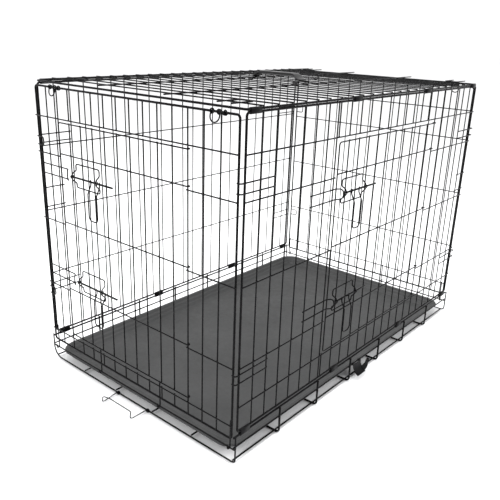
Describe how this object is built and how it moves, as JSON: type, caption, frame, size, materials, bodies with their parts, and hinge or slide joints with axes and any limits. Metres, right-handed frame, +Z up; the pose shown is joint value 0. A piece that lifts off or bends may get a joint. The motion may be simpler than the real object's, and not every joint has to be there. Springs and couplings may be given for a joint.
{
  "type": "wire dog crate",
  "caption": "Folding rectangular wire dog crate with a big front door, a small end door, slide bolts, a lift-out floor pan and a roof handle.",
  "frame": {"origin": "on the ground under the middle of the base", "axes": "+X along the length, away from the end with the small door; -Y out of the long side with the big door; +Z up"},
  "size_m": [0.9639, 0.5955, 0.6635],
  "materials": {
    "wire_black": "semi-gloss black coat on steel wire",
    "clip_black": "satin black coat on folded sheet",
    "pan_grey": "fine-grained dark grey plastic",
    "handle_black": "satin black moulded plastic"
  },
  "bodies": {
    "floor": {"floor_cross_wires": "wire_black", "floor_end_wires": "wire_black", "floor_side_feet": "wire_black", "floor_long_wires": "wire_black", "floor_top_rails": "wire_black", "floor_mid_rails": "wire_black", "floor_hinge_wires": "wire_black", "floor_clips": "clip_black"},
    "pan": {"pan": "pan_grey"},
    "pan_stop": {"pan_stop": "wire_black"},
    "catch": {"catch": "clip_black"},
    "far_side": {"far_side_frame": "wire_black", "far_side_uprights": "wire_black", "far_side_rows": "wire_black", "far_side_hook_wires": "wire_black"},
    "roof": {"roof_frame": "wire_black", "roof_cross_wires": "wire_black", "roof_long_wires": "wire_black", "roof_clips": "clip_black", "roof_latch_loops": "wire_black", "handle_grip": "handle_black", "handle_feet": "handle_black"},
    "near_side": {"near_side_frame": "wire_black", "near_side_uprights": "wire_black", "near_side_stubs": "wire_black", "near_side_rows": "wire_black", "near_side_corner_hooks": "wire_black", "near_side_keepers": "wire_black"},
    "front_door": {"front_door_border": "wire_black", "front_door_uprights": "wire_black", "front_door_rows": "wire_black", "front_door_guides": "wire_black"},
    "front_bolt_upper": {"front_bolt_upper": "wire_black"},
    "front_bolt_lower": {"front_bolt_lower": "wire_black"},
    "left_end": {"left_end_frame": "wire_black", "left_end_uprights": "wire_black", "left_end_stubs": "wire_black", "left_end_rows": "wire_black", "left_end_hinge_loops": "wire_black", "left_end_corner_loops": "wire_black", "left_end_keepers": "wire_black"},
    "left_door": {"left_door_border": "wire_black", "left_door_uprights": "wire_black", "left_door_rows": "wire_black", "left_door_guides": "wire_black"},
    "left_bolt_upper": {"left_bolt_upper": "wire_black"},
    "left_bolt_lower": {"left_bolt_lower": "wire_black"},
    "right_end": {"right_end_frame": "wire_black", "right_end_uprights": "wire_black", "right_end_rows": "wire_black", "right_end_hinge_loops": "wire_black", "right_end_corner_loops": "wire_black"},
    "left_end_latch_near": {"left_end_latch_near": "wire_black"},
    "left_end_latch_far": {"left_end_latch_far": "wire_black"},
    "right_end_latch_near": {"right_end_latch_near": "wire_black"},
    "right_end_latch_far": {"right_end_latch_far": "wire_black"}
  },
  "joints": [
    {"name": "pan_slide", "type": "slide", "parent": "floor", "child": "pan", "axis": [1, 0, 0], "range_m": [-0.55, 0]},
    {"name": "pan_stop_hinge", "type": "hinge", "parent": "floor", "child": "pan_stop", "pos_m": [-0.457, 0, 0.0041], "axis": [0, 1, 0], "range_deg": [0, 70]},
    {"name": "catch_hinge", "type": "hinge", "parent": "floor", "child": "catch", "pos_m": [-0.035, -0.2856, 0.037], "axis": [-1, 0, 0], "range_deg": [0, 60]},
    {"name": "far_side_fold", "type": "hinge", "parent": "floor", "child": "far_side", "pos_m": [0, 0.2852, 0.066], "axis": [1, 0, 0], "range_deg": [0, 85]},
    {"name": "roof_hinge", "type": "hinge", "parent": "far_side", "child": "roof", "pos_m": [0, 0.2852, 0.636], "axis": [1, 0, 0], "range_deg": [-85, 0]},
    {"name": "near_side_hinge", "type": "hinge", "parent": "roof", "child": "near_side", "pos_m": [0, -0.2852, 0.636], "axis": [1, 0, 0], "range_deg": [0, 85]},
    {"name": "front_door_hinge", "type": "hinge", "parent": "near_side", "child": "front_door", "pos_m": [0.2245, -0.28595, 0.345], "axis": [0, 0, -1], "range_deg": [-110, 0]},
    {"name": "front_bolt_upper_slide", "type": "slide", "parent": "front_door", "child": "front_bolt_upper", "axis": [-1, 0, 0], "range_m": [0, 0.0145]},
    {"name": "front_bolt_lower_slide", "type": "slide", "parent": "front_door", "child": "front_bolt_lower", "axis": [-1, 0, 0], "range_m": [0, 0.0145]},
    {"name": "left_end_fold", "type": "hinge", "parent": "floor", "child": "left_end", "pos_m": [-0.457, 0, 0.0325], "axis": [0, 1, 0], "range_deg": [0, 90]},
    {"name": "left_door_hinge", "type": "hinge", "parent": "left_end", "child": "left_door", "pos_m": [-0.45775, -0.1674, 0.33], "axis": [0, 0, -1], "range_deg": [-110, 0]},
    {"name": "left_bolt_upper_slide", "type": "slide", "parent": "left_door", "child": "left_bolt_upper", "axis": [0, 1, 0], "range_m": [0, 0.0115]},
    {"name": "left_bolt_lower_slide", "type": "slide", "parent": "left_door", "child": "left_bolt_lower", "axis": [0, 1, 0], "range_m": [0, 0.0115]},
    {"name": "right_end_fold", "type": "hinge", "parent": "floor", "child": "right_end", "pos_m": [0.457, 0, 0.0325], "axis": [0, -1, 0], "range_deg": [0, 87.8]},
    {"name": "left_latch_near_hinge", "type": "hinge", "parent": "left_end", "child": "left_end_latch_near", "pos_m": [-0.457, 0, 0.6325], "axis": [0, 1, 0], "range_deg": [0, 180]},
    {"name": "left_latch_far_hinge", "type": "hinge", "parent": "left_end", "child": "left_end_latch_far", "pos_m": [-0.457, 0, 0.6325], "axis": [0, 1, 0], "range_deg": [0, 180]},
    {"name": "right_latch_near_hinge", "type": "hinge", "parent": "right_end", "child": "right_end_latch_near", "pos_m": [0.457, 0, 0.6325], "axis": [0, -1, 0], "range_deg": [0, 180]},
    {"name": "right_latch_far_hinge", "type": "hinge", "parent": "right_end", "child": "right_end_latch_far", "pos_m": [0.457, 0, 0.6325], "axis": [0, -1, 0], "range_deg": [0, 180]}
  ],
  "couplings": [
    {"joint": "roof_hinge", "follows": "far_side_fold", "ratio": -1},
    {"joint": "near_side_hinge", "follows": "far_side_fold", "ratio": 1}
  ]
}
